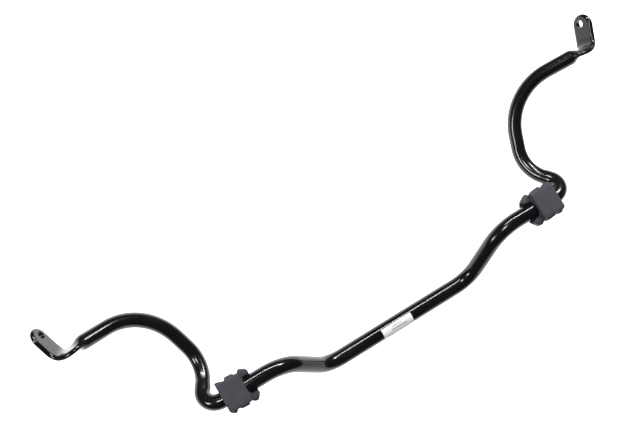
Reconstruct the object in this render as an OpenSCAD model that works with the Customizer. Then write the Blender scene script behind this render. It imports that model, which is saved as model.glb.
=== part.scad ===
// Tubular sway bar with its two slit rubber bushings and its identification label.
// X runs across the vehicle, Y along the arms and Z up. The origin is on the bushing
// axis, midway between the two bushings. Every length is in millimetres.

/* [Bar tube] */
// Outside diameter between the outer bends
bar_od = 27; // [25.5:0.5:30]
// Outside diameter of the arms
arm_od = 24; // [20:0.5:25]
// Wall thickness of the tube
wall = 4; // [2.5:0.25:5]

/* [Centre section] */
// Half length of the centre straight, to the corner of its bend
centre_half = 138; // [120:1:146]
// How far the centre straight is set behind the bushing axis
centre_back = 41; // [30:1:48]
// How far the centre straight hangs below the bushing axis
centre_drop = 81; // [60:1:84]
// Distance from the centre plane to the corner where the journal starts
journal_corner = 205; // [198:1:208]
// Centreline radius of the bend out of the centre straight
centre_bend_r = 55; // [40:1:62]
// Centreline radius of the bend into the journal
journal_bend_r = 68; // [50:1:76]

/* [Arms] */
// Distance from the centre plane to the corner of the outer bend
outer_corner = 347; // [345:1:400]
// Centreline radius of the outer bend
outer_bend_r = 22; // [18:0.5:25]
// How far the arm comes back inboard after the outer bend
hook_in = 40; // [34:1:42]
// How far forward of the bushing axis the hook's corner lies
hook_forward = 66; // [64:1:76]
// How far below the bushing axis the hook's corner lies
hook_drop = 40; // [20:1:44]
// Centreline radius of the hook's bend
hook_bend_r = 58; // [40:1:62]
// How far inboard of the outer corner the crown's corner lies
crown_in = 4; // [0:1:12]
// How far forward of the bushing axis the crown's corner lies
crown_forward = 187; // [182:1:220]
// How far below the bushing axis the crown's corner lies
crown_drop = 4; // [-8:1:12]
// Centreline radius of the crown's bend
crown_bend_r = 98; // [60:1:104]
// Distance outboard from the crown's corner to the end of the round tube
shoulder_out = 97; // [92:1:110]
// How far the tube falls back over that distance
shoulder_back = 10; // [0:1:20]
// How far the tube rises over that distance
shoulder_rise = 58; // [30:1:62]

/* [Flattened ends] */
// Width of the flattened end
tab_w = 36; // [30:0.5:38]
// Thickness of the flattened end
tab_t = 8; // [7:0.5:9]
// Length over which the round tube is pressed flat
press_len = 15; // [10:1:20]
// Distance outboard from the end of the round tube to the link hole
hole_out = 50.5; // [46:0.5:56]
// Distance forward from the end of the round tube to the link hole
hole_forward = 39.5; // [36:0.5:48]
// Height of the link hole above the end of the round tube
hole_rise = -1.5; // [-6:0.5:8]
// Lean of the tab outboard of the vehicle's length, in degrees
tab_lean = 15.5; // [5:0.5:22]
// Rise of the tab above level, in degrees
tab_rise = 20.5; // [10:0.5:28]
// Tip of the tab's face above upright, in degrees
tab_tip = 26; // [15:1:40]
// Diameter of the link hole
link_hole_d = 12.2; // [10.5:0.1:13]
// How far the link hole lies off the middle of the tab's width, to its lower edge
hole_side = 3.5; // [0:0.5:5]
// How far the centre of the tab's round head lies behind the link hole
head_back = 3; // [0:0.5:5]

/* [Bushings] */
// Distance from the centre plane to the outer end of each bushing
bush_outer_x = 310; // [304:0.5:311]
// Length of each bushing
bush_len = 54; // [48:1:58]
// Width of the body between the ribs
bush_w = 48; // [44:0.5:52]
// Height of the flat seat above the bushing axis
seat_h = 21.5; // [20:0.5:26]
// Length of the flat seat, from the outer end
seat_len = 39; // [34:1:44]
// How far the ribs stand out from the body
rib_out = 4; // [2.5:0.5:5.5]
// How far the outer and middle ribs stop short of the flat seat
rib_drop = 4; // [2:0.5:6]
// Height of the two ears at the inner end above the bushing axis
ear_h = 10; // [8:0.5:14]
// Width of each rib along the bar
rib_len = 11.5; // [9:0.5:12]
// Width of the groove beside the outer rib
groove_len = 5.5; // [4:0.5:7]
// Radius of the pocket in the inner end
pocket_r = 18.5; // [17:0.5:20]
// Depth of the pocket in the inner end
pocket_depth = 12; // [6:0.5:15]
// Radial clearance between each bushing and the bar
bush_clearance = 0.05; // [0.02:0.01:0.1]
// Width of the slit that lets a bushing open over the bar
slit_w = 0.8; // [0.4:0.1:1.5]

/* [Label] */
// Length of the label along the bar
label_len = 57; // [40:1:80]
// Distance from the centre plane to the middle of the label, to the left
label_left = 8; // [0:1:20]
// Thickness of the label
label_t = 0.25; // [0.15:0.05:0.5]
// Angle that the label covers around the bar
label_arc = 150; // [100:5:240]
// Angle from straight up, to the front, at which the label starts
label_start = 14; // [0:1:45]

/* [Hidden] */
$fn = 72;
STEEL = [0.05, 0.05, 0.055];
RUBBER = [0.2, 0.2, 0.23];
PAPER = [0.9, 0.9, 0.88];

// Joined pieces of the tube run this far into each other
JOIN = 0.6;
// and one of them is this much thinner, so that no two faces lie in one surface
INSET = 0.02;
// The pressed ends are faceted, so they are this much thinner than what they run into
PRESS_INSET = 0.08;
// Length of the cone between two tube diameters
TAPER = 6;
// Straight end of each tab, from the link hole back to where the bend starts
TAB_STRAIGHT = 22;
// Rings along each pressed end, and points around each ring
RINGS = 24;
RING_POINTS = 40;

bar_r = bar_od / 2;
arm_r = arm_od / 2;
outer_r = (bar_r + arm_r) / 2;
bore_r = bar_r + bush_clearance;
body_r = bush_w / 2;
rib_r = body_r + rib_out;
rib_top = seat_h - rib_drop;

// Corners of one half of the centreline, from the centre plane to the end of the tube
CROWN = [outer_corner - crown_in, crown_forward, -crown_drop];
SHOULDER = CROWN + [shoulder_out, -shoulder_back, shoulder_rise];
CORNERS = [
    [0, -centre_back, -centre_drop],
    [centre_half, -centre_back, -centre_drop],
    [journal_corner, 0, 0],
    [outer_corner, 0, 0],
    [outer_corner - hook_in, hook_forward, -hook_drop],
    CROWN,
    SHOULDER,
];
BEND_RADII = [0, centre_bend_r, journal_bend_r, outer_bend_r, hook_bend_r, crown_bend_r, 0];
// Radius of the tube in each bend; a leg between two different radii has a cone
TUBE_RADII = [bar_r, bar_r, bar_r, outer_r, arm_r, arm_r, arm_r];
LAST = len(CORNERS) - 1;

// The tab: along its length, across its width and out of its face
HOLE = SHOULDER + [hole_out, hole_forward, hole_rise];
TAB_DIR = [sin(tab_lean) * cos(tab_rise), cos(tab_lean) * cos(tab_rise), sin(tab_rise)];
TAB_SIDE = unit(cross(TAB_DIR, [0, 0, 1]));
TAB_TOP = cross(TAB_SIDE, TAB_DIR);
TAB_WIDE = TAB_TOP * cos(tab_tip) + TAB_SIDE * sin(tab_tip);
TAB_FACE = TAB_TOP * sin(tab_tip) - TAB_SIDE * cos(tab_tip);

function unit(v) = v / norm(v);
function square_to(v) = unit(cross(v, abs(v[2]) < 0.9 ? [0, 0, 1] : [1, 0, 0]));
function smooth(t) = t <= 0 ? 0 : t >= 1 ? 1 : t * t * (3 - 2 * t);

function along(i) = unit(CORNERS[i + 1] - CORNERS[i]);
function turn(i) = i <= 0 || i >= LAST ? 0 : acos(along(i - 1) * along(i));
function setback(i) = BEND_RADII[i] * tan(turn(i) / 2);
function leg_start(i) = CORNERS[i] + along(i) * setback(i);
function leg_end(i) = CORNERS[i + 1] - along(i) * setback(i + 1);

// Children with their X, Y and Z axes laid along three unit vectors
module framed(origin, x, y, z) {
    multmatrix([
        [x[0], y[0], z[0], origin[0]],
        [x[1], y[1], z[1], origin[1]],
        [x[2], y[2], z[2], origin[2]],
        [0, 0, 0, 1],
    ]) children();
}

module rod(from, to, r1, r2) {
    d = unit(to - from);
    s = square_to(d);
    framed(from, s, cross(d, s), d) cylinder(h = norm(to - from), r1 = r1, r2 = r2);
}

// One straight leg, with a cone at its outboard end when the radius changes
module leg(i, inset) {
    r1 = TUBE_RADII[i] - inset;
    r2 = TUBE_RADII[i + 1] - inset;
    d = along(i);
    start = leg_start(i) - d * (i == 0 ? 0 : JOIN);
    end = leg_end(i) + d * (i == LAST - 1 ? 0 : JOIN);
    neck = leg_end(i) - d * TAPER;
    if (r1 == r2) {
        rod(start, end, r1, r1);
    } else {
        rod(start, neck, r1, r1);
        rod(neck - d * JOIN, leg_end(i), r1 - INSET, r2 - INSET);
        rod(neck + d * JOIN, end, r2, r2);
    }
}

// The bend at one corner
module elbow(i, inset) {
    a = along(i - 1);
    inward = unit(along(i) - a);
    centre = CORNERS[i] + inward * BEND_RADII[i] / cos(turn(i) / 2);
    first = unit(leg_end(i - 1) - centre);
    framed(centre, first, a, cross(first, a))
        rotate_extrude(angle = turn(i))
            translate([BEND_RADII[i], 0]) circle(r = TUBE_RADII[i] - inset - INSET);
}

module half_tube(inset) {
    for (i = [0 : LAST - 1]) leg(i, inset);
    for (i = [1 : LAST - 1]) elbow(i, inset);
}

// The pressed end follows a curve from the tube's end to the straight of the tab
TUBE_DIR = along(LAST - 1);
HEAD = HOLE + TAB_WIDE * hole_side - TAB_DIR * head_back;
TAB_START = HEAD - TAB_DIR * (TAB_STRAIGHT - head_back);
HANDLE = 0.55 * norm(TAB_START - SHOULDER);
P1 = SHOULDER + TUBE_DIR * HANDLE;
P2 = TAB_START - TAB_DIR * HANDLE;
PRESS_PATH = 0.7 * (norm(TAB_START - SHOULDER) + 2 * HANDLE + norm(P2 - P1)) / 2;

function curve(t) = pow(1 - t, 3) * SHOULDER + 3 * t * pow(1 - t, 2) * P1
    + 3 * t * t * (1 - t) * P2 + t * t * t * TAB_START;
function slope(t) = unit(pow(1 - t, 2) * (P1 - SHOULDER) + 2 * t * (1 - t) * (P2 - P1)
    + t * t * (TAB_START - P2));

// Width direction of the section: square to the bend at first, then the tab's own
FIRST_WIDE = unit(cross(TUBE_DIR, TAB_DIR));
function wide(t) = unit(FIRST_WIDE * (1 - smooth(t)) + TAB_WIDE * smooth(t));

// One ring of the pressed end: a circle that turns into a flat bar with round edges
function ring(t) =
    let (
        m = smooth(t * PRESS_PATH / press_len),
        w = wide(t),
        across = cross(slope(t), w),
        edge_r = (arm_r * (1 - m) + tab_t / 2 * m) - PRESS_INSET,
        flat = (tab_w - tab_t) / 2 * m,
        stretch = 1 / norm(across)
    )
    [for (k = [0 : RING_POINTS - 1])
        let (a = (k + 0.5) * 360 / RING_POINTS)
        curve(t) + w * stretch * (sign(cos(a)) * flat + edge_r * cos(a))
            + unit(across) * edge_r * sin(a)];

module pressed_end() {
    rows = [for (j = [0 : RINGS]) each ring(j / RINGS)];
    n = RING_POINTS;
    sides = [
        for (j = [0 : RINGS - 1], k = [0 : n - 1])
            each [
                [j * n + k, (j + 1) * n + k, (j + 1) * n + (k + 1) % n],
                [j * n + k, (j + 1) * n + (k + 1) % n, j * n + (k + 1) % n],
            ]
    ];
    caps = [
        [for (k = [0 : n - 1]) k],
        [for (k = [n - 1 : -1 : 0]) RINGS * n + k],
    ];
    polyhedron(points = rows, faces = concat(sides, caps), convexity = 6);
}

// The straight of the tab and its round head, drawn with the width along X, the face
// along Z and the head's centre at the origin
module tab() {
    flat = tab_w / 2 - tab_t / 2;
    straight = TAB_STRAIGHT - head_back + JOIN / 2;
    translate([0, -straight, 0]) rotate([-90, 0, 0])
        linear_extrude(straight) {
            square([2 * flat, tab_t], center = true);
            translate([flat, 0]) circle(d = tab_t);
            translate([-flat, 0]) circle(d = tab_t);
        }
    rotate_extrude() {
        translate([0, INSET - tab_t / 2]) square([flat, tab_t - 2 * INSET]);
        intersection() {
            translate([flat, 0]) circle(r = tab_t / 2 - INSET);
            translate([0, -tab_t]) square([tab_w, 2 * tab_t]);
        }
    }
}

// Everything at one end past the round tube
module end_fitting() {
    rod(SHOULDER - TUBE_DIR * JOIN, SHOULDER + TUBE_DIR * JOIN / 2, arm_r, arm_r);
    pressed_end();
    framed(HEAD, TAB_WIDE, TAB_DIR, -TAB_FACE) tab();
}

module link_hole() {
    framed(HOLE, TAB_WIDE, TAB_DIR, -TAB_FACE)
        cylinder(h = 3 * tab_t, d = link_hole_d, center = true);
}

module both_sides() {
    children();
    mirror([1, 0, 0]) children();
}

module bar() {
    color(STEEL) difference() {
        both_sides() {
            half_tube(0);
            end_fitting();
        }
        both_sides() half_tube(wall);
        both_sides() link_hole();
    }
}

// A D with its round side down, as seen along the bar
module d_shape(r, top) {
    difference() {
        union() {
            circle(r = r);
            translate([-r, 0]) square([2 * r, 2 * r]);
        }
        translate([-2 * r, top]) square([4 * r, 3 * r]);
    }
}

// A D-shaped slice of a bushing, from one distance behind its outer end to another
module slice(from, to, r, top) {
    translate([bush_outer_x - to, 0, 0]) rotate([90, 0, 90])
        linear_extrude(to - from) d_shape(r, top);
}

module bushing() {
    color(RUBBER) difference() {
        union() {
            slice(0, seat_len, body_r, seat_h);
            slice(seat_len - 1, bush_len, body_r, ear_h);
            slice(0, rib_len, rib_r, rib_top);
            slice(rib_len + groove_len, 2 * rib_len + groove_len + 1.5, rib_r, rib_top);
            slice(seat_len - 2, bush_len, rib_r, ear_h);
        }
        translate([bush_outer_x - bush_len - 1, 0, 0]) rotate([0, 90, 0])
            cylinder(h = bush_len + 2, r = bore_r);
        translate([bush_outer_x - bush_len - 1, 0, 0]) rotate([0, 90, 0])
            cylinder(h = pocket_depth + 1, r = pocket_r);
        translate([bush_outer_x - bush_len - 1, -2 * rib_r, -slit_w / 2])
            cube([bush_len + 2, 2 * rib_r, slit_w]);
    }
}

module right_bushing() {
    bushing();
}

module left_bushing() {
    mirror([1, 0, 0]) bushing();
}

module label() {
    gap = 0.01;
    color(PAPER)
        translate([-label_left - label_len / 2, -centre_back, -centre_drop])
            rotate([-label_start, 0, 0]) rotate([90, 0, 90])
                rotate([0, 0, 90]) rotate_extrude(angle = label_arc)
                    translate([bar_r + gap, 0]) square([label_t, label_len]);
}

bar();
left_bushing();
right_bushing();
label();
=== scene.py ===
"""Sway bar: the finished looks of a bent tube bar, its two rubber bushings and its label.

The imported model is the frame. Every piece is built in metres in that frame: X across the
vehicle, Y along the arms, Z up, with the origin on the bushing axis.
"""

import logging
import math
from dataclasses import dataclass, field
from enum import Enum
from functools import partial
from typing import Callable, Dict, List, Optional, Sequence, Tuple

import bmesh
import bpy
from mathutils import Matrix, Vector


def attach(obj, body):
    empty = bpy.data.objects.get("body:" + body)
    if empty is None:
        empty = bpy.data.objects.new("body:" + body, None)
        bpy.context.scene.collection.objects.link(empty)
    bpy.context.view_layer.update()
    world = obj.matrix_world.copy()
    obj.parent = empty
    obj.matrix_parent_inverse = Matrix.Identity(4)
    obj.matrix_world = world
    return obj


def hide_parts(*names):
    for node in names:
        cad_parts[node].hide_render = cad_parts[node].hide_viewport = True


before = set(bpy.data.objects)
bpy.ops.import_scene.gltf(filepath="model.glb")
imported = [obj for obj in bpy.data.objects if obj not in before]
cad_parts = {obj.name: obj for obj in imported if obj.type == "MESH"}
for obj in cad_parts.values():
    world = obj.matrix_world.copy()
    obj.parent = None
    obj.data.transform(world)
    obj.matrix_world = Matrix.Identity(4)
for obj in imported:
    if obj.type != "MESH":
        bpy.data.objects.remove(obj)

logging.basicConfig(level=logging.INFO, format="%(message)s")
LOG = logging.getLogger("sway_bar")

# How far round its section each point of a ring is, in degrees, by the point's place
Turns = Dict[Tuple[float, float, float], float]

MM = 0.001


class Side(Enum):
    """The two ends of the vehicle's width, as the sign of X."""

    LEFT = -1
    RIGHT = 1


# ---------------------------------------------------------------------------
# Editing helpers
# ---------------------------------------------------------------------------


def clear_selection() -> None:
    """Deselects everything and leaves no object active."""
    if bpy.context.mode != "OBJECT":
        bpy.ops.object.mode_set(mode="OBJECT")
    bpy.ops.object.select_all(action="DESELECT")
    bpy.context.view_layer.objects.active = None


def make_active(piece: bpy.types.Object) -> None:
    """Selects one object and nothing else.

    Args:
        piece: The object that the next operators act on.
    """
    clear_selection()
    piece.select_set(True)
    bpy.context.view_layer.objects.active = piece


def edit_all(piece: bpy.types.Object) -> None:
    """Opens a piece in edit mode with everything selected.

    Args:
        piece: The object to edit.
    """
    make_active(piece)
    bpy.ops.object.mode_set(mode="EDIT")
    bpy.ops.mesh.select_all(action="SELECT")


def coat(piece: bpy.types.Object, finish: bpy.types.Material) -> None:
    """Gives a piece its only material.

    Args:
        piece: The object to coat.
        finish: The material.
    """
    piece.data.materials.clear()
    piece.data.materials.append(finish)


def settle(piece: bpy.types.Object) -> None:
    """Moves an object's place into its mesh, so that the object sits at the origin.

    Args:
        piece: The object to settle.
    """
    make_active(piece)
    bpy.ops.object.transform_apply(location=True, rotation=True, scale=True)


def apply_modifier(piece: bpy.types.Object, modifier: bpy.types.Modifier) -> None:
    """Applies one modifier to its object's mesh.

    Args:
        piece: The object that has the modifier.
        modifier: The modifier to apply.
    """
    make_active(piece)
    bpy.ops.object.modifier_apply(modifier=modifier.name)


def close_up(piece: bpy.types.Object, distance: float = 2e-6) -> None:
    """Merges doubled vertices and turns every face outwards.

    Args:
        piece: The object to clean.
        distance: How near two vertices are when they are merged, in metres.
    """
    edit_all(piece)
    bpy.ops.mesh.remove_doubles(threshold=distance)
    bpy.ops.mesh.normals_make_consistent(inside=False)
    bpy.ops.object.mode_set(mode="OBJECT")


def smooth_by_angle(piece: bpy.types.Object, degrees: float) -> None:
    """Shades a piece smooth except across edges sharper than an angle.

    Args:
        piece: The object to shade.
        degrees: The sharpest angle that still shades smooth.
    """
    make_active(piece)
    bpy.ops.object.shade_smooth_by_angle(angle=math.radians(degrees))


def cut_away(piece: bpy.types.Object, cutter: bpy.types.Object) -> None:
    """Cuts one closed mesh out of another and removes the cutter.

    Args:
        piece: The object that is cut.
        cutter: The closed mesh that is taken away.
    """
    tool = piece.modifiers.new("cut", "BOOLEAN")
    tool.operation = "DIFFERENCE"
    tool.solver = "EXACT"
    tool.object = cutter
    apply_modifier(piece, tool)
    bpy.data.objects.remove(cutter, do_unlink=True)


def facing(direction: Vector, wide: Vector) -> Matrix:
    """The turn that lays local Z along a direction and local X along a width.

    Args:
        direction: Where local Z goes.
        wide: Where local X goes, square to the direction.

    Returns:
        The 4x4 rotation.
    """
    z = direction.normalized()
    x = (wide - z * wide.dot(z)).normalized()
    y = z.cross(x)
    return Matrix((x, y, z)).transposed().to_4x4()


def spool(
    name: str,
    centre: Vector,
    direction: Vector,
    wide: Vector,
    steps: Sequence[Tuple[float, float]],
    sides: int,
) -> bpy.types.Object:
    """A closed turned solid, made from a disc that is extruded and resized step by step.

    Args:
        name: The object's name.
        centre: The point from which distances are measured.
        direction: The axis along which it grows.
        wide: Where its first vertex lies.
        steps: Pairs of distance along the axis and radius, in order.
        sides: How many sides it has.

    Returns:
        The finished object, settled at the origin.
    """
    clear_selection()
    turn = facing(direction, wide)
    first = centre + direction * steps[0][0]
    bpy.ops.mesh.primitive_circle_add(
        vertices=sides, radius=steps[0][1], fill_type="NGON", location=first,
        rotation=turn.to_euler(),
    )
    piece = bpy.context.active_object
    piece.name = name
    settle(piece)
    edit_all(piece)
    for (last_s, last_r), (next_s, next_r) in zip(steps, steps[1:]):
        move = direction * (next_s - last_s)
        bpy.ops.mesh.extrude_region_move(TRANSFORM_OT_translate={"value": move})
        scale = next_r / last_r
        bpy.ops.transform.resize(
            value=(scale, scale, scale), center_override=centre + direction * next_s
        )
    bpy.ops.object.mode_set(mode="OBJECT")
    close_up(piece)
    return piece


# ---------------------------------------------------------------------------
# Shader node groups
# ---------------------------------------------------------------------------


class NodeMaker:
    """Adds nodes to one tree and links them, so that each material reads as a list."""

    def __init__(self, tree: bpy.types.NodeTree) -> None:
        """Keeps the tree that nodes go to."""
        self.tree = tree
        self.column = 0

    def add(self, kind: str, **values: object) -> bpy.types.Node:
        """Adds one node.

        Args:
            kind: The node's type name.
            **values: Attributes set on the node.

        Returns:
            The new node.
        """
        node = self.tree.nodes.new(kind)
        node.location = (self.column * 190 - 1400, -(self.column % 4) * 170)
        self.column += 1
        for key, value in values.items():
            setattr(node, key, value)
        return node

    def link(self, source: bpy.types.NodeSocket, target: bpy.types.NodeSocket) -> None:
        """Joins one output to one input."""
        self.tree.links.new(source, target)

    def noise(
        self, where: bpy.types.NodeSocket, scale: float, detail: float, rough: float
    ) -> bpy.types.NodeSocket:
        """A noise pattern.

        Args:
            where: The coordinates it reads.
            scale: Repeats to a metre.
            detail: Octaves of finer noise.
            rough: How strong the finer noise is.

        Returns:
            The pattern's value, from 0 to 1.
        """
        node = self.add("ShaderNodeTexNoise")
        node.inputs["Scale"].default_value = scale
        node.inputs["Detail"].default_value = detail
        node.inputs["Roughness"].default_value = rough
        self.link(where, node.inputs["Vector"])
        return node.outputs["Fac"]

    def spread(
        self, value: bpy.types.NodeSocket, low: float, high: float, to_low: float, to_high: float
    ) -> bpy.types.NodeSocket:
        """Stretches a value from one range to another and holds it there.

        Args:
            value: The value to stretch.
            low: The value that becomes to_low.
            high: The value that becomes to_high.
            to_low: The result at low.
            to_high: The result at high.

        Returns:
            The stretched value.
        """
        node = self.add("ShaderNodeMapRange", clamp=True)
        for key, number in zip(("From Min", "From Max", "To Min", "To Max"), (low, high, to_low, to_high)):
            node.inputs[key].default_value = number
        self.link(value, node.inputs["Value"])
        return node.outputs["Result"]

    def math(
        self, operation: str, first: object, second: object
    ) -> bpy.types.NodeSocket:
        """Joins two values, or a value and a number, by arithmetic.

        Args:
            operation: The Math node's operation.
            first: A socket or a number.
            second: A socket or a number.

        Returns:
            The result.
        """
        node = self.add("ShaderNodeMath", operation=operation)
        for socket, value in zip(node.inputs, (first, second)):
            if isinstance(value, (int, float)):
                socket.default_value = value
            else:
                self.link(value, socket)
        return node.outputs[0]

    def blend(
        self, amount: bpy.types.NodeSocket, first: object, second: object
    ) -> bpy.types.NodeSocket:
        """Mixes two colours.

        Args:
            amount: How much of the second shows.
            first: A colour or a socket.
            second: A colour or a socket.

        Returns:
            The mixed colour.
        """
        node = self.add("ShaderNodeMix", data_type="RGBA")
        self.link(amount, node.inputs[0])
        for socket, value in ((node.inputs[6], first), (node.inputs[7], second)):
            if isinstance(value, tuple):
                socket.default_value = (*value, 1.0)
            else:
                self.link(value, socket)
        return node.outputs[2]

    def bump(
        self, height: bpy.types.NodeSocket, strength: float, distance: float,
        under: Optional[bpy.types.NodeSocket] = None,
    ) -> bpy.types.NodeSocket:
        """Turns a height into a normal.

        Args:
            height: The height pattern.
            strength: How much of it shows, from 0 to 1.
            distance: The height's full depth, in metres.
            under: A normal that this one is laid on.

        Returns:
            The normal.
        """
        node = self.add("ShaderNodeBump")
        node.inputs["Strength"].default_value = strength
        node.inputs["Distance"].default_value = distance
        self.link(height, node.inputs["Height"])
        if under is not None:
            self.link(under, node.inputs["Normal"])
        return node.outputs["Normal"]


@dataclass(frozen=True)
class PatternGroup:
    """A shader node group that turns coordinates into one mask, with named settings."""

    name: str
    settings: Tuple[Tuple[str, float], ...]
    build: Callable[[NodeMaker, Dict[str, bpy.types.NodeSocket]], bpy.types.NodeSocket]

    def tree(self) -> bpy.types.NodeTree:
        """Builds the group, or returns the one already built.

        Returns:
            The node tree.
        """
        done = bpy.data.node_groups.get(self.name)
        if done:
            return done
        tree = bpy.data.node_groups.new(self.name, "ShaderNodeTree")
        tree.interface.new_socket("Place", in_out="INPUT", socket_type="NodeSocketVector")
        for name, value in self.settings:
            socket = tree.interface.new_socket(name, in_out="INPUT", socket_type="NodeSocketFloat")
            socket.default_value = value
        tree.interface.new_socket("Mask", in_out="OUTPUT", socket_type="NodeSocketFloat")
        maker = NodeMaker(tree)
        entry = maker.add("NodeGroupInput")
        result = self.build(maker, {s.name: s for s in entry.outputs})
        leave = maker.add("NodeGroupOutput")
        maker.link(result, leave.inputs["Mask"])
        return tree

    def place(
        self, maker: NodeMaker, where: bpy.types.NodeSocket, **values: float
    ) -> bpy.types.NodeSocket:
        """Puts the group in a material.

        Args:
            maker: The material's node maker.
            where: The coordinates it reads.
            **values: Its settings, by name with spaces as underscores.

        Returns:
            The mask.
        """
        node = maker.add("ShaderNodeGroup", node_tree=self.tree())
        maker.link(where, node.inputs["Place"])
        for key, value in values.items():
            node.inputs[key.replace("_", " ")].default_value = value
        return node.outputs["Mask"]


def build_specks(maker: NodeMaker, entry: Dict[str, bpy.types.NodeSocket]) -> bpy.types.NodeSocket:
    """Small scattered specks, such as dust caught in a coating.

    Args:
        maker: The group's node maker.
        entry: The group's inputs.

    Returns:
        The mask, 1 in a speck.
    """
    cells = maker.add("ShaderNodeTexVoronoi", feature="F1")
    maker.link(entry["Place"], cells.inputs["Vector"])
    maker.link(entry["Scale"], cells.inputs["Scale"])
    near = maker.math("LESS_THAN", cells.outputs["Distance"], entry["Size"])
    split = maker.add("ShaderNodeSeparateColor")
    maker.link(cells.outputs["Color"], split.inputs["Color"])
    chosen = maker.math("LESS_THAN", split.outputs["Red"], entry["Share"])
    return maker.math("MULTIPLY", near, chosen)


def build_patches(maker: NodeMaker, entry: Dict[str, bpy.types.NodeSocket]) -> bpy.types.NodeSocket:
    """Soft cloudy patches, such as handling marks or an uneven cure.

    Args:
        maker: The group's node maker.
        entry: The group's inputs.

    Returns:
        The mask, from 0 to 1.
    """
    node = maker.add("ShaderNodeTexNoise")
    node.inputs["Detail"].default_value = 5.0
    node.inputs["Distortion"].default_value = 0.4
    maker.link(entry["Place"], node.inputs["Vector"])
    maker.link(entry["Scale"], node.inputs["Scale"])
    low = maker.math("SUBTRACT", 0.5, entry["Softness"])
    high = maker.math("ADD", 0.5, entry["Softness"])
    spread = maker.add("ShaderNodeMapRange", clamp=True)
    maker.link(node.outputs["Fac"], spread.inputs["Value"])
    maker.link(low, spread.inputs["From Min"])
    maker.link(high, spread.inputs["From Max"])
    return spread.outputs["Result"]


def build_grain(maker: NodeMaker, entry: Dict[str, bpy.types.NodeSocket]) -> bpy.types.NodeSocket:
    """A fine moulded or sprayed grain at two scales.

    Args:
        maker: The group's node maker.
        entry: The group's inputs.

    Returns:
        The height, from 0 to 1.
    """
    coarse = maker.add("ShaderNodeTexNoise")
    coarse.inputs["Detail"].default_value = 2.0
    maker.link(entry["Place"], coarse.inputs["Vector"])
    maker.link(entry["Scale"], coarse.inputs["Scale"])
    finer = maker.math("MULTIPLY", entry["Scale"], 3.7)
    fine = maker.add("ShaderNodeTexNoise")
    fine.inputs["Detail"].default_value = 2.0
    maker.link(entry["Place"], fine.inputs["Vector"])
    maker.link(finer, fine.inputs["Scale"])
    part = maker.math("MULTIPLY", fine.outputs["Fac"], entry["Fine share"])
    return maker.math("ADD", coarse.outputs["Fac"], part)


SPECKS = PatternGroup("scattered specks", (("Scale", 400.0), ("Size", 0.12), ("Share", 0.2)), build_specks)
PATCHES = PatternGroup("soft patches", (("Scale", 20.0), ("Softness", 0.15)), build_patches)
GRAIN = PatternGroup("two-scale grain", (("Scale", 900.0), ("Fine share", 0.5)), build_grain)


# ---------------------------------------------------------------------------
# Finishes
# ---------------------------------------------------------------------------


def open_material(name: str) -> Tuple[bpy.types.Material, NodeMaker]:
    """Starts a material with no nodes.

    Args:
        name: The material's name.

    Returns:
        The material and its node maker.
    """
    made = bpy.data.materials.new(name)
    made.use_nodes = True
    made.node_tree.nodes.clear()
    return made, NodeMaker(made.node_tree)


def add_surface(
    maker: NodeMaker, colour: bpy.types.NodeSocket, rough: bpy.types.NodeSocket,
    normal: bpy.types.NodeSocket,
) -> bpy.types.Node:
    """Adds the main shader and the material's output.

    Args:
        maker: The material's node maker.
        colour: The base colour.
        rough: The roughness.
        normal: The normal.

    Returns:
        The main shader.
    """
    shader = maker.add("ShaderNodeBsdfPrincipled")
    for name, socket in (("Base Color", colour), ("Roughness", rough), ("Normal", normal)):
        maker.link(socket, shader.inputs[name])
    leave = maker.add("ShaderNodeOutputMaterial")
    maker.link(shader.outputs[0], leave.inputs["Surface"])
    return shader


@dataclass(frozen=True)
class PowderCoat:
    """Gloss black powder coat over steel."""

    name: str = "gloss_black_powder_coat"
    black: Tuple[float, float, float] = (0.0030, 0.0030, 0.0034)
    dusty: Tuple[float, float, float] = (0.0065, 0.0065, 0.0070)
    roughness: float = 0.12

    def material(self) -> bpy.types.Material:
        """Builds the material.

        Returns:
            The material.
        """
        made, maker = open_material(self.name)
        where = maker.add("ShaderNodeTexCoord").outputs["Object"]
        patches = PATCHES.place(maker, where, Scale=26.0, Softness=0.22)
        specks = SPECKS.place(maker, where, Scale=620.0, Size=0.13, Share=0.12)
        colour = maker.blend(maker.math("MULTIPLY", patches, 0.6), self.black, self.dusty)
        colour = maker.blend(maker.math("MULTIPLY", specks, 0.5), colour, (0.014, 0.014, 0.015))
        rough = maker.spread(patches, 0.0, 1.0, self.roughness, self.roughness + 0.09)
        rough = maker.math("ADD", rough, maker.math("MULTIPLY", specks, 0.2))
        peel = GRAIN.place(maker, where, Scale=420.0, Fine_share=0.35)
        wave = maker.noise(where, 60.0, 2.0, 0.5)
        normal = maker.bump(wave, 0.03, 0.0001)
        normal = maker.bump(peel, 0.015, 0.00002, normal)
        shader = add_surface(maker, colour, rough, normal)
        shader.inputs["IOR"].default_value = 1.5
        shader.inputs["Specular IOR Level"].default_value = 0.42
        shader.inputs["Coat Weight"].default_value = 0.15
        shader.inputs["Coat Roughness"].default_value = 0.06
        return made


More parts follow.
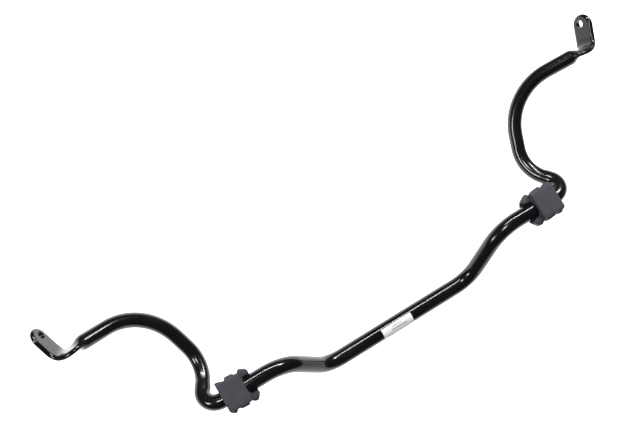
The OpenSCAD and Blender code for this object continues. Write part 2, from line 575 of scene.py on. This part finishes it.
@dataclass(frozen=True)
class MouldedRubber:
    """Matte black rubber with a moulded grain and a trace of bloom."""

    name: str = "moulded_rubber"
    black: Tuple[float, float, float] = (0.026, 0.025, 0.034)
    bloom: Tuple[float, float, float] = (0.050, 0.047, 0.060)

    def material(self) -> bpy.types.Material:
        """Builds the material.

        Returns:
            The material.
        """
        made, maker = open_material(self.name)
        where = maker.add("ShaderNodeTexCoord").outputs["Object"]
        patches = PATCHES.place(maker, where, Scale=60.0, Softness=0.25)
        specks = SPECKS.place(maker, where, Scale=700.0, Size=0.2, Share=0.3)
        colour = maker.blend(maker.math("MULTIPLY", patches, 0.7), self.black, self.bloom)
        colour = maker.blend(maker.math("MULTIPLY", specks, 0.35), colour, (0.085, 0.083, 0.095))
        rough = maker.spread(patches, 0.0, 1.0, 0.62, 0.78)
        grain = GRAIN.place(maker, where, Scale=1100.0, Fine_share=0.6)
        lumps = maker.noise(where, 160.0, 3.0, 0.55)
        normal = maker.bump(lumps, 0.35, 0.0004)
        normal = maker.bump(grain, 0.45, 0.00016, normal)
        shader = add_surface(maker, colour, rough, normal)
        shader.inputs["Specular IOR Level"].default_value = 0.35
        return made


@dataclass(frozen=True)
class LabelFilm:
    """White printed film. Its marks are plain bars and dashes, not letters."""

    name: str = "white_label_film"
    white: Tuple[float, float, float] = (0.80, 0.80, 0.79)
    ink: Tuple[float, float, float] = (0.045, 0.045, 0.05)

    def material(self) -> bpy.types.Material:
        """Builds the material. It reads the label's own UV map, which is unrolled flat.

        Returns:
            The material.
        """
        made, maker = open_material(self.name)
        split = maker.add("ShaderNodeSeparateXYZ")
        uv = maker.add("ShaderNodeUVMap", uv_map="unrolled").outputs["UV"]
        maker.link(uv, split.inputs["Vector"])
        along, across = split.outputs["X"], split.outputs["Y"]
        dashes = self.dashes(maker, along, across)
        where = maker.add("ShaderNodeTexCoord").outputs["Object"]
        patches = PATCHES.place(maker, where, Scale=90.0, Softness=0.3)
        paper = maker.blend(maker.math("MULTIPLY", patches, 0.5), self.white, (0.72, 0.72, 0.70))
        colour = maker.blend(dashes, paper, self.ink)
        grain = GRAIN.place(maker, where, Scale=1500.0, Fine_share=0.4)
        normal = maker.bump(grain, 0.15, 0.00005)
        rough = maker.spread(patches, 0.0, 1.0, 0.38, 0.5)
        add_surface(maker, colour, rough, normal)
        return made

    def band(
        self, maker: NodeMaker, value: bpy.types.NodeSocket, low: float, high: float
    ) -> bpy.types.NodeSocket:
        """A mask that is 1 between two values.

        Args:
            maker: The material's node maker.
            value: The value that is tested.
            low: The lower edge.
            high: The upper edge.

        Returns:
            The mask.
        """
        return maker.math(
            "MULTIPLY", maker.math("GREATER_THAN", value, low), maker.math("LESS_THAN", value, high)
        )

    def dashes(
        self, maker: NodeMaker, along: bpy.types.NodeSocket, across: bpy.types.NodeSocket
    ) -> bpy.types.NodeSocket:
        """The printed marks: two rows of dashes and a block of bars.

        Args:
            maker: The material's node maker.
            along: Distance along the bar, from 0 to 1.
            across: Distance around the bar, from 0 to 1.

        Returns:
            The mask, 1 where there is ink.
        """
        marks: List[bpy.types.NodeSocket] = []
        # dashes to the label's length, share of each that is ink, left, right, low, high
        for pitch, share, left, right, low, high in (
            (34.0, 0.62, 0.30, 0.80, 0.235, 0.290),
            (27.0, 0.70, 0.34, 0.66, 0.115, 0.145),
            (61.0, 0.50, 0.16, 0.84, 0.500, 0.640),
            (30.0, 0.66, 0.20, 0.70, 0.720, 0.750),
        ):
            step = maker.math("FRACT", maker.math("MULTIPLY", along, pitch), 0.0)
            dash = maker.math("LESS_THAN", step, share)
            window = maker.math(
                "MULTIPLY", self.band(maker, along, left, right), self.band(maker, across, low, high)
            )
            marks.append(maker.math("MULTIPLY", dash, window))
        total = marks[0]
        for mark in marks[1:]:
            total = maker.math("MAXIMUM", total, mark)
        return total


@dataclass(frozen=True)
class StudioPaper:
    """The plain pale floor under the bar."""

    name: str = "studio_paper"

    def material(self) -> bpy.types.Material:
        """Builds the material.

        Returns:
            The material.
        """
        made = bpy.data.materials.new(self.name)
        made.use_nodes = True
        shader = made.node_tree.nodes["Principled BSDF"]
        shader.inputs["Base Color"].default_value = (0.92, 0.92, 0.92, 1.0)
        shader.inputs["Roughness"].default_value = 0.9
        shader.inputs["Specular IOR Level"].default_value = 0.1
        shader.inputs["Emission Color"].default_value = (1.0, 1.0, 1.0, 1.0)
        shader.inputs["Emission Strength"].default_value = 1.1
        return made


# ---------------------------------------------------------------------------
# The bar
# ---------------------------------------------------------------------------


@dataclass(frozen=True)
class Corner:
    """One corner of the bar's centreline, in millimetres."""

    place: Tuple[float, float, float]
    bend_radius: float
    tube_radius: float

    def point(self) -> Vector:
        """The corner in metres."""
        return Vector(self.place) * MM


@dataclass
class TabShape:
    """The flattened end with its link hole."""

    width: float = 36.0 * MM
    thickness: float = 8.0 * MM
    press_length: float = 15.0 * MM
    hole_offset: Tuple[float, float, float] = (50.5, 39.5, -1.5)
    lean: float = 15.5
    rise: float = 20.5
    tip: float = 26.0
    hole_radius: float = 6.1 * MM
    hole_side: float = 3.5 * MM
    head_back: float = 3.0 * MM
    straight: float = 22.0 * MM
    straight_rings: Tuple[float, ...] = (0.34, 0.67, 1.0)
    handle_share: float = 0.55
    path_share: float = 0.7
    broken_edge: float = 0.35 * MM

    def directions(self) -> Tuple[Vector, Vector, Vector]:
        """The tab's three directions.

        Returns:
            Along its length, across its width and out of its face.
        """
        lean, rise, tip = (math.radians(v) for v in (self.lean, self.rise, self.tip))
        along = Vector((math.sin(lean) * math.cos(rise), math.cos(lean) * math.cos(rise), math.sin(rise)))
        side = along.cross(Vector((0, 0, 1))).normalized()
        top = side.cross(along)
        wide = top * math.cos(tip) + side * math.sin(tip)
        face = top * math.sin(tip) - side * math.cos(tip)
        return along, wide, face

    def outline(self, degrees: float) -> Tuple[float, float]:
        """A point of the flat section with full round edges, spaced evenly around it.

        Args:
            degrees: How far round, from the middle of one edge.

        Returns:
            The place across the width and out of the face.
        """
        edge = self.thickness / 2
        flat = self.width / 2 - edge
        quarter = math.pi * edge / 2 + flat
        turn = degrees % 360.0
        mirrored_x = 90.0 < turn < 270.0
        mirrored_y = turn > 180.0
        local = turn % 180.0
        local = 180.0 - local if local > 90.0 else local
        if turn == 180.0:
            local, mirrored_x = 0.0, True
        run = quarter * local / 90.0
        if run < math.pi * edge / 2:
            x, y = flat + edge * math.cos(run / edge), edge * math.sin(run / edge)
        else:
            x, y = flat - (run - math.pi * edge / 2), edge
        return (-x if mirrored_x else x), (-y if mirrored_y else y)

    def head_section(self, turn: float, ahead: float) -> Tuple[float, float]:
        """A point of the round head's section.

        Args:
            turn: How far round, in degrees from the middle of one edge.
            ahead: How far the section lies ahead of the head's centre.

        Returns:
            The place across the width and out of the face.
        """
        edge = self.thickness / 2
        reach = self.width / 2
        x = math.sqrt(max(reach * reach - ahead * ahead, 0.0)) * math.cos(math.radians(turn))
        past = max(math.hypot(x, ahead) - (reach - edge), 0.0)
        y = math.sqrt(max(edge * edge - past * past, 0.0))
        return x, math.copysign(y, math.sin(math.radians(turn)))


@dataclass
class SwayBar:
    """The bent tube with its pressed ends, built as one half and mirrored."""

    sides: int = 64
    bend_step: float = 3.0
    taper: float = 6.0 * MM
    end_rings: int = 34
    head_rings: int = 24
    hole_sides: int = 72
    merge_distance: float = 2e-5
    corners: Tuple[Corner, ...] = (
        Corner((0.0, -41.0, -81.0), 0.0, 13.5),
        Corner((138.0, -41.0, -81.0), 55.0, 13.5),
        Corner((205.0, 0.0, 0.0), 68.0, 13.5),
        Corner((347.0, 0.0, 0.0), 22.0, 12.75),
        Corner((307.0, 66.0, -40.0), 58.0, 12.0),
        Corner((343.0, 187.0, -4.0), 98.0, 12.0),
        Corner((440.0, 177.0, 54.0), 0.0, 12.0),
    )
    tab: TabShape = field(default_factory=TabShape)

    def build(self, finish: bpy.types.Material) -> bpy.types.Object:
        """Builds the whole bar and rides it on the bar's body.

        Args:
            finish: The coating.

        Returns:
            The bar.
        """
        piece = self.half_bar()
        mirror = piece.modifiers.new("other half", "MIRROR")
        mirror.use_axis = (True, False, False)
        mirror.merge_threshold = 1e-5
        apply_modifier(piece, mirror)
        close_up(piece, self.merge_distance)
        self.check_closed(piece)
        for side in Side:
            cut_away(piece, self.hole_cutter(side))
        smooth_by_angle(piece, 32.0)
        coat(piece, finish)
        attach(piece, "bar")
        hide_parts("bar")
        LOG.info("bar: %d faces", len(piece.data.polygons))
        return piece

    def check_closed(self, piece: bpy.types.Object) -> None:
        """Stops the build when the bar's surface has an open edge.

        Args:
            piece: The whole bar, before the link holes are cut.
        """
        mesh = bmesh.new()
        mesh.from_mesh(piece.data)
        open_edges = sum(1 for edge in mesh.edges if not edge.is_manifold)
        mesh.free()
        LOG.info("bar: %d open edges", open_edges)
        if open_edges:
            raise RuntimeError("the bar isn't closed")

    def half_bar(self) -> bpy.types.Object:
        """The half on the positive side of X, open at the centre plane.

        Returns:
            The half bar.
        """
        start = self.corners[0].point()
        clear_selection()
        bpy.ops.mesh.primitive_circle_add(
            vertices=self.sides, radius=self.corners[0].tube_radius * MM, fill_type="NOTHING",
            location=start, rotation=(0.0, math.pi / 2, 0.0),
        )
        piece = bpy.context.active_object
        piece.name = "coated_bar"
        settle(piece)
        edit_all(piece)
        here = start
        for index in range(1, len(self.corners) - 1):
            here = self.leg_and_bend(piece, here, index)
        end = self.corners[-1].point()
        self.run_to(here, end)
        self.pressed_end(piece, end, (end - self.corners[-2].point()).normalized())
        bpy.ops.object.mode_set(mode="OBJECT")
        close_up(piece, self.merge_distance)
        return piece

    def run_to(self, here: Vector, there: Vector) -> None:
        """Extrudes the open ring along a straight.

        Args:
            here: Where the ring's centre is.
            there: Where it goes.
        """
        bpy.ops.mesh.extrude_region_move(TRANSFORM_OT_translate={"value": there - here})

    def leg_and_bend(self, piece: bpy.types.Object, here: Vector, index: int) -> Vector:
        """Extrudes one straight and spins the bend at its end.

        Args:
            piece: The half bar, in edit mode.
            here: Where the ring's centre is.
            index: The corner at the straight's end.

        Returns:
            Where the ring's centre is after the bend.
        """
        before, corner, after = (self.corners[index + k] for k in (-1, 0, 1))
        incoming = (corner.point() - before.point()).normalized()
        outgoing = (after.point() - corner.point()).normalized()
        angle = incoming.angle(outgoing)
        radius = corner.bend_radius * MM
        setback = radius * math.tan(angle / 2)
        bend_start = corner.point() - incoming * setback
        if corner.tube_radius != before.tube_radius:
            neck = bend_start - incoming * self.taper
            self.run_to(here, neck)
            self.run_to(neck, bend_start)
            scale = corner.tube_radius / before.tube_radius
            bpy.ops.transform.resize(value=(scale, scale, scale), center_override=bend_start)
        else:
            self.run_to(here, bend_start)
        centre = corner.point() + (outgoing - incoming).normalized() * radius / math.cos(angle / 2)
        axis = incoming.cross(outgoing).normalized()
        steps = max(4, round(math.degrees(angle) / self.bend_step))
        bpy.ops.mesh.spin(steps=steps, dupli=False, angle=-angle, center=centre, axis=axis)
        bend_end = corner.point() + outgoing * setback
        found = self.ring_centre(piece)
        if (found - bend_end).length > 1e-4:
            raise RuntimeError(f"bend {index} ended {found}, not at {bend_end}")
        return bend_end

    def ring_centre(self, piece: bpy.types.Object) -> Vector:
        """The middle of the selected ring.

        Args:
            piece: The half bar, in edit mode.

        Returns:
            The middle.
        """
        mesh = bmesh.from_edit_mesh(piece.data)
        chosen = [v.co for v in mesh.verts if v.select]
        return sum(chosen, Vector()) / len(chosen)

    def pressed_end(self, piece: bpy.types.Object, shoulder: Vector, tube_dir: Vector) -> None:
        """Carries the round tube into the flat tab and closes the tab's round head.

        Args:
            piece: The half bar, in edit mode, with its end ring selected.
            shoulder: Where the round tube ends.
            tube_dir: The tube's direction there.
        """
        along, wide, _ = self.tab.directions()
        hole = shoulder + Vector(self.tab.hole_offset) * MM
        head = hole + wide * self.tab.hole_side - along * self.tab.head_back
        straight = self.tab.straight - self.tab.head_back
        tab_start = head - along * straight
        first_wide = tube_dir.cross(along).normalized()
        turns = self.measure_turns(piece, shoulder, first_wide, tube_dir.cross(first_wide).normalized())
        turns = self.press_flat(piece, turns, shoulder, tube_dir, first_wide, tab_start)
        across = along.cross(wide).normalized()
        for share in self.tab.straight_rings:
            middle = tab_start + along * straight * share
            turns = self.place_ring(piece, turns, middle, wide, across, self.tab.outline)
        reach = self.tab.width / 2
        for step in range(1, self.head_rings + 1):
            ahead = reach * math.sin(math.pi / 2 * step / self.head_rings)
            turns = self.place_ring(
                piece, turns, head + along * ahead, wide, across,
                partial(self.tab.head_section, ahead=ahead),
            )

    def measure_turns(
        self, piece: bpy.types.Object, centre: Vector, first_wide: Vector, across: Vector
    ) -> Turns:
        """Measures how far round the tube each point of its end ring is.

        Args:
            piece: The half bar, in edit mode, with its end ring selected.
            centre: The ring's middle.
            first_wide: The direction that becomes the tab's width.
            across: The direction that becomes its thickness.

        Returns:
            The ring's turns, with one point moved to zero.
        """
        mesh = bmesh.from_edit_mesh(piece.data)
        turns = {
            tuple(v.co): math.degrees(
                math.atan2((v.co - centre).dot(across), (v.co - centre).dot(first_wide))
            )
            for v in mesh.verts if v.select
        }
        offset = min(turns.values(), key=abs)
        return {k: v - offset for k, v in turns.items()}

    def press_flat(
        self, piece: bpy.types.Object, turns: Turns, shoulder: Vector, tube_dir: Vector,
        first_wide: Vector, tab_start: Vector,
    ) -> Turns:
        """Bends the tube's end along a curve to the tab, pressing it flat and twisting it.

        Args:
            piece: The half bar, in edit mode, with its end ring selected.
            turns: The end ring's turns.
            shoulder: Where the round tube ends.
            tube_dir: The tube's direction there.
            first_wide: The width direction there.
            tab_start: Where the straight of the tab starts.

        Returns:
            The turns of the ring at the tab's start.
        """
        along, wide, _ = self.tab.directions()
        handle = self.tab.handle_share * (tab_start - shoulder).length
        p1, p2 = shoulder + tube_dir * handle, tab_start - along * handle
        path = self.tab.path_share * ((tab_start - shoulder).length + 2 * handle + (p2 - p1).length) / 2
        for step in range(1, self.end_rings + 1):
            t = step / self.end_rings
            middle = (
                shoulder * (1 - t) ** 3 + p1 * 3 * t * (1 - t) ** 2
                + p2 * 3 * t * t * (1 - t) + tab_start * t ** 3
            )
            slope = (
                (p1 - shoulder) * (1 - t) ** 2 + (p2 - p1) * 2 * t * (1 - t) + (tab_start - p2) * t * t
            ).normalized()
            ease = self.eased(t)
            w = (first_wide * (1 - ease) + wide * ease).normalized()
            crossing = slope.cross(w)
            turns = self.place_ring(
                piece, turns, middle, w / crossing.length, crossing.normalized(),
                partial(self.pressed_section, flatness=self.eased(t * path / self.tab.press_length)),
            )
        return turns

    def pressed_section(self, turn: float, flatness: float) -> Tuple[float, float]:
        """A point of the section between the round tube and the flat tab.

        Args:
            turn: How far round, in degrees.
            flatness: 0 for the round section, 1 for the flat one.

        Returns:
            The place across the width and out of the face.
        """
        radius = self.corners[-1].tube_radius * MM
        fx, fy = self.tab.outline(turn)
        x = radius * math.cos(math.radians(turn)) * (1 - flatness) + fx * flatness
        y = radius * math.sin(math.radians(turn)) * (1 - flatness) + fy * flatness
        return x, y

    def eased(self, t: float) -> float:
        """A smooth step from 0 to 1."""
        t = min(max(t, 0.0), 1.0)
        return t * t * (3 - 2 * t)

    def place_ring(
        self, piece: bpy.types.Object, turns: Turns, middle: Vector, wide: Vector, across: Vector,
        section: Callable[[float], Tuple[float, float]],
    ) -> Turns:
        """Extrudes the open ring and shapes it.

        Args:
            piece: The half bar, in edit mode.
            turns: The selected ring's turns.
            middle: The new ring's middle.
            wide: Its width direction.
            across: Its thickness direction.
            section: The section's outline, by how far round it a point is.

        Returns:
            The new ring's turns.
        """
        bpy.ops.mesh.extrude_region_move(TRANSFORM_OT_translate={"value": (0.0, 0.0, 0.0)})
        mesh = bmesh.from_edit_mesh(piece.data)
        placed: Turns = {}
        for vert in mesh.verts:
            if not vert.select:
                continue
            turn = turns[tuple(vert.co)]
            x, y = section(turn)
            vert.co = middle + wide * x + across * y
            placed[tuple(vert.co)] = turn
        bmesh.update_edit_mesh(piece.data)
        return placed

    def hole_cutter(self, side: Side) -> bpy.types.Object:
        """The tool that cuts one link hole with its broken edges.

        Args:
            side: Which end.

        Returns:
            The cutter.
        """
        _, wide, face = self.tab.directions()
        hole = self.corners[-1].point() + Vector(self.tab.hole_offset) * MM
        flip = Matrix.Diagonal((side.value, 1, 1))
        hole, wide, face = flip @ hole, flip @ wide, flip @ face
        half, r, broken = self.tab.thickness / 2, self.tab.hole_radius, self.tab.broken_edge
        steps = (
            (-half - broken, r + 2 * broken), (-half + broken, r), (half - broken, r),
            (half + broken, r + 2 * broken),
        )
        return spool("hole_cutter", hole, face, wide, steps, self.hole_sides)


# ---------------------------------------------------------------------------
# The bushings
# ---------------------------------------------------------------------------


@dataclass
class Bushing:
    """One slit rubber bushing, modelled on the right and copied to the left.

    Distances named s run from the outer end towards the centre of the vehicle.
    """

    outer_x: float = 310.0 * MM
    length: float = 54.0 * MM
    body: float = 24.0 * MM
    bore: float = 13.55 * MM
    pocket: float = 18.5 * MM
    pocket_depth: float = 12.0 * MM
    slit: float = 0.8 * MM
    rays: int = 144
    bore_sides: int = 96
    body_crisp: float = 16.0
    rib_crisp: float = 9.0
    side_blend: float = 1.6
    # (s, half width of the ribs at the front, the same at the back, height of the ribs,
    # height of the body), in millimetres
    stations: Tuple[Tuple[float, float, float, float, float], ...] = (
        (0.0, 26.6, 21.6, 15.6, 20.6), (0.5, 27.2, 22.4, 16.4, 21.2), (1.4, 27.5, 23.4, 17.0, 21.5),
        (3.6, 27.6, 25.2, 17.5, 21.5), (5.4, 27.2, 26.6, 17.5, 21.5), (7.2, 26.7, 27.6, 17.5, 21.5),
        (8.2, 26.4, 27.8, 17.4, 21.5), (9.4, 26.0, 27.4, 17.1, 21.5), (11.8, 25.0, 25.4, 15.8, 21.5),
        (13.2, 24.3, 24.1, 14.4, 21.5), (14.6, 24.1, 24.0, 14.0, 21.5), (15.8, 24.4, 24.2, 14.4, 21.5),
        (17.2, 26.8, 25.0, 15.9, 21.5), (18.3, 27.9, 26.0, 17.2, 21.5), (19.4, 28.0, 26.6, 17.5, 21.5),
        (24.8, 27.8, 27.0, 17.5, 21.5), (28.6, 27.5, 27.4, 17.5, 21.5), (29.8, 27.2, 27.5, 17.3, 21.5),
        (31.6, 25.8, 27.0, 16.2, 21.5), (33.0, 24.4, 25.4, 14.2, 21.5), (34.2, 24.0, 24.3, 13.0, 21.5),
        (36.8, 23.9, 24.1, 12.0, 21.5), (38.0, 24.2, 24.6, 10.6, 21.3), (38.7, 25.0, 25.2, 10.1, 20.6),
        (39.0, 25.6, 25.6, 10.0, 19.0), (39.2, 25.9, 25.8, 10.0, 10.0), (40.6, 27.2, 26.8, 10.0, 9.0),
        (42.2, 27.9, 27.6, 10.0, 9.0), (43.4, 27.7, 28.0, 10.0, 9.0), (45.8, 26.4, 28.0, 10.0, 9.0),
        (47.0, 25.7, 27.6, 10.0, 9.0), (50.6, 23.7, 24.0, 9.9, 9.0), (52.2, 22.4, 21.6, 9.5, 9.0),
        (53.2, 20.9, 20.0, 8.9, 8.7), (54.0, 19.8, 19.2, 8.0, 7.9),
    )

    def build(self, side: Side, finish: bpy.types.Material) -> bpy.types.Object:
        """Builds one bushing and rides it on its body.

        Args:
            side: Which bushing.
            finish: The rubber.

        Returns:
            The bushing.
        """
        piece = self.shell()
        cut_away(piece, self.bore_cutter())
        cut_away(piece, self.slit_cutter())
        if side is Side.LEFT:
            edit_all(piece)
            bpy.ops.transform.resize(value=(-1.0, 1.0, 1.0), center_override=(0.0, 0.0, 0.0))
            bpy.ops.object.mode_set(mode="OBJECT")
        close_up(piece)
        smooth_by_angle(piece, 30.0)
        node = f"{side.name.lower()}_bushing"
        piece.name = f"rubber_{node}"
        coat(piece, finish)
        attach(piece, node)
        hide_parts(node)
        LOG.info("%s: %d faces", piece.name, len(piece.data.polygons))
        return piece

    def reach(self, turn: float, half_width: float, top: float, crisp: float) -> float:
        """How far a D-shaped section reaches from the axis in one direction.

        Args:
            turn: The direction, in radians from +Y towards +Z.
            half_width: The section's half width, and the radius of its round side.
            top: The height of its flat side.
            crisp: How square its corners are.

        Returns:
            The distance.
        """
        c, s = abs(math.cos(turn)), math.sin(turn)
        if s <= 0.0:
            return half_width
        return ((c / half_width) ** crisp + (s / top) ** crisp) ** (-1.0 / crisp)

    def shell(self) -> bpy.types.Object:
        """The outside of the right bushing, closed at both ends.

        Returns:
            The shell.
        """
        clear_selection()
        bpy.ops.mesh.primitive_circle_add(
            vertices=self.rays, radius=self.body, fill_type="NGON",
            location=(self.outer_x, 0.0, 0.0), rotation=(0.0, math.pi / 2, 0.0),
        )
        piece = bpy.context.active_object
        piece.name = "rubber_bushing"
        settle(piece)
        edit_all(piece)
        self.shape_ring(piece, self.stations[0])
        for station in self.stations[1:]:
            bpy.ops.mesh.extrude_region_move(TRANSFORM_OT_translate={"value": (0.0, 0.0, 0.0)})
            self.shape_ring(piece, station)
        bpy.ops.object.mode_set(mode="OBJECT")
        close_up(piece, 1e-7)
        return piece

    def shape_ring(self, piece: bpy.types.Object, station: Tuple[float, ...]) -> None:
        """Moves the selected ring to its station and gives it its section.

        Args:
            piece: The shell, in edit mode.
            station: The distance s and the section's sizes, in millimetres.
        """
        s, front, back, rib_top, body_top = (v * MM for v in station)
        mesh = bmesh.from_edit_mesh(piece.data)
        for vert in mesh.verts:
            if not vert.select:
                continue
            turn = math.atan2(vert.co.z, vert.co.y)
            sideways = max(-1.0, min(1.0, math.cos(turn) * self.side_blend))
            lean = 0.5 + 0.5 * math.sin(math.pi / 2 * sideways)
            rib = back + (front - back) * lean
            body = min(self.body, rib)
            far = max(
                self.reach(turn, body, body_top, self.body_crisp),
                self.reach(turn, rib, rib_top, self.rib_crisp),
            )
            vert.co = Vector((self.outer_x - s, far * math.cos(turn), far * math.sin(turn)))
        bmesh.update_edit_mesh(piece.data)

    def bore_cutter(self) -> bpy.types.Object:
        """The tool that cuts the bore and the pocket in the inner end.

        Returns:
            The cutter.
        """
        pocket_floor = self.length - self.pocket_depth
        steps = (
            (-1.0 * MM, self.bore + 1.9 * MM),
            (0.9 * MM, self.bore),
            (pocket_floor - 2.0 * MM, self.bore),
            (pocket_floor, self.pocket - 1.2 * MM),
            (pocket_floor + 1.6 * MM, self.pocket - 0.3 * MM),
            (self.length - 2.0 * MM, self.pocket),
            (self.length + 1.0 * MM, self.pocket + 1.5 * MM),
        )
        start = Vector((self.outer_x, 0.0, 0.0))
        inward, forward = Vector((-1, 0, 0)), Vector((0, 1, 0))
        return spool("bore_cutter", start, inward, forward, steps, self.bore_sides)

    def slit_cutter(self) -> bpy.types.Object:
        """The blade that slits the bushing along its rear side.

        Returns:
            The cutter.
        """
        clear_selection()
        bpy.ops.mesh.primitive_cube_add(
            size=1.0, location=(self.outer_x - self.length / 2, -self.body * 0.85, 0.0),
            scale=(self.length + 4.0 * MM, self.body * 0.9, self.slit),
        )
        cutter = bpy.context.active_object
        cutter.name = "slit_cutter"
        settle(cutter)
        return cutter


# ---------------------------------------------------------------------------
# The label
# ---------------------------------------------------------------------------


@dataclass
class WrapLabel:
    """The printed film wrapped round the centre of the bar."""

    length: float = 57.0 * MM
    middle: float = -8.0 * MM
    radius: float = 13.52 * MM
    thickness: float = 0.20 * MM
    arc: float = 150.0
    start: float = 14.0
    steps: int = 60

    def build(self, axis: Vector, finish: bpy.types.Material) -> bpy.types.Object:
        """Builds the label and rides it on the bar.

        Args:
            axis: A point on the centre straight's axis.
            finish: The film.

        Returns:
            The label.
        """
        clear_selection()
        bpy.ops.mesh.primitive_grid_add(
            x_subdivisions=12, y_subdivisions=self.steps, size=1.0, location=(0.0, 0.0, 0.0),
        )
        piece = bpy.context.active_object
        piece.name = "wrap_label"
        settle(piece)
        self.unroll(piece)
        self.roll(piece, axis)
        solid = piece.modifiers.new("film", "SOLIDIFY")
        solid.thickness = self.thickness
        solid.offset = 1.0
        apply_modifier(piece, solid)
        smooth_by_angle(piece, 30.0)
        coat(piece, finish)
        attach(piece, "bar")
        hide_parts("label")
        LOG.info("wrap_label: %d faces", len(piece.data.polygons))
        return piece

    def unroll(self, piece: bpy.types.Object) -> None:
        """Writes the flat film's own map before it is rolled.

        Args:
            piece: The flat grid, one metre square.
        """
        mesh = piece.data
        for layer in list(mesh.uv_layers):
            mesh.uv_layers.remove(layer)
        layer = mesh.uv_layers.new(name="unrolled")
        for loop in mesh.loops:
            place = mesh.vertices[loop.vertex_index].co
            layer.data[loop.index].uv = (place.x + 0.5, place.y + 0.5)

    def roll(self, piece: bpy.types.Object, axis: Vector) -> None:
        """Rolls the flat grid round the bar.

        Args:
            piece: The flat grid.
            axis: A point on the bar's axis.
        """
        make_active(piece)
        bpy.ops.object.mode_set(mode="EDIT")
        mesh = bmesh.from_edit_mesh(piece.data)
        for vert in mesh.verts:
            along, around = vert.co.x, vert.co.y + 0.5
            turn = math.radians(90.0 - self.start + self.arc * around)
            vert.co = axis + Vector((
                self.middle + along * self.length, self.radius * math.cos(turn), self.radius * math.sin(turn)
            ))
        bmesh.update_edit_mesh(piece.data)
        bpy.ops.mesh.select_all(action="SELECT")
        bpy.ops.mesh.normals_make_consistent(inside=False)
        mesh = bmesh.from_edit_mesh(piece.data)
        mesh.faces.ensure_lookup_table()
        face = mesh.faces[0]
        outward = face.calc_center_median() - axis
        outward.x = 0.0
        if face.normal.dot(outward) < 0.0:
            bpy.ops.mesh.flip_normals()
        bpy.ops.object.mode_set(mode="OBJECT")


# ---------------------------------------------------------------------------
# The studio
# ---------------------------------------------------------------------------


@dataclass(frozen=True)
class SoftLight:
    """One area light."""

    name: str
    place: Tuple[float, float, float]
    target: Tuple[float, float, float]
    size: Tuple[float, float]
    power: float
    roll: float = 0.0

    def build(self) -> bpy.types.Object:
        """Adds the light.

        Returns:
            The light's object.
        """
        data = bpy.data.lights.new(self.name, "AREA")
        data.shape = "RECTANGLE"
        data.size, data.size_y = self.size
        data.energy = self.power
        lamp = bpy.data.objects.new(self.name, data)
        bpy.context.scene.collection.objects.link(lamp)
        aim = Vector(self.target) - Vector(self.place)
        turn = aim.to_track_quat("-Z", "Y").to_matrix() @ Matrix.Rotation(math.radians(self.roll), 3, "Z")
        lamp.matrix_world = Matrix.Translation(self.place) @ turn.to_4x4()
        return lamp


@dataclass
class Studio:
    """Floor, light and camera."""

    floor_z: float = -0.42
    floor_size: float = 9.0
    lens_share: float = 1.463281
    shift: float = 0.0059
    camera_place: Tuple[float, float, float] = (-0.2886, 0.0, 1.4530)
    camera_right: Tuple[float, float, float] = (0.8505, -0.5191, 0.0847)
    camera_up: Tuple[float, float, float] = (0.4981, 0.8467, 0.1869)
    lights: Tuple[SoftLight, ...] = (
        SoftLight("strip_high", (0.55, 1.15, 1.35), (0.0, 0.0, 0.0), (1.9, 0.10), 40.0, 8.0),
        SoftLight("window_left", (-1.6, 0.3, 1.1), (-0.2, 0.0, 0.0), (0.4, 0.4), 12.0),
        SoftLight("window_right", (1.28, 0.73, 1.31), (-0.44, 0.18, 0.05), (0.40, 0.30), 14.0),
        SoftLight("high_left", (-0.70, 0.45, 2.25), (0.44, 0.18, 0.05), (0.45, 0.45), 18.0),
    )

    def build(self) -> None:
        """Builds everything that isn't part of the bar."""
        self.floor()
        self.world()
        for light in self.lights:
            light.build()
        self.camera()

    def floor(self) -> None:
        """Lays the plain pale floor well under the bar."""
        clear_selection()
        bpy.ops.mesh.primitive_plane_add(size=self.floor_size, location=(0.0, 0.0, self.floor_z))
        floor = bpy.context.active_object
        floor.name = "studio_floor"
        floor.data.materials.append(StudioPaper().material())

    def world(self) -> None:
        """Sets the room's even light."""
        world = bpy.data.worlds.new("studio_room")
        world.use_nodes = True
        shade = world.node_tree.nodes["Background"]
        shade.inputs["Color"].default_value = (0.9, 0.93, 1.0, 1.0)
        shade.inputs["Strength"].default_value = 0.07
        bpy.context.scene.world = world
        bpy.context.scene.view_settings.view_transform = "Standard"

    def camera(self) -> None:
        """Places the camera above the bar."""
        data = bpy.data.cameras.new("studio_camera")
        data.sensor_fit = "HORIZONTAL"
        data.sensor_width = 36.0
        data.lens = 36.0 * self.lens_share
        data.shift_x = self.shift
        data.clip_start, data.clip_end = 0.05, 50.0
        camera = bpy.data.objects.new("studio_camera", data)
        bpy.context.scene.collection.objects.link(camera)
        right = Vector(self.camera_right).normalized()
        up = Vector(self.camera_up)
        up = (up - right * up.dot(right)).normalized()
        turn = Matrix((right, up, right.cross(up))).transposed()
        camera.matrix_world = Matrix.Translation(self.camera_place) @ turn.to_4x4()
        bpy.context.scene.camera = camera


def main() -> None:
    """Builds the bar, the bushings, the label and the studio, in that order."""
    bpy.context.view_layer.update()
    bar = SwayBar()
    bar.build(PowderCoat().material())
    rubber = MouldedRubber().material()
    for side in Side:
        Bushing().build(side, rubber)
    WrapLabel().build(bar.corners[0].point(), LabelFilm().material())
    Studio().build()


if __name__ == "__main__":
    main()
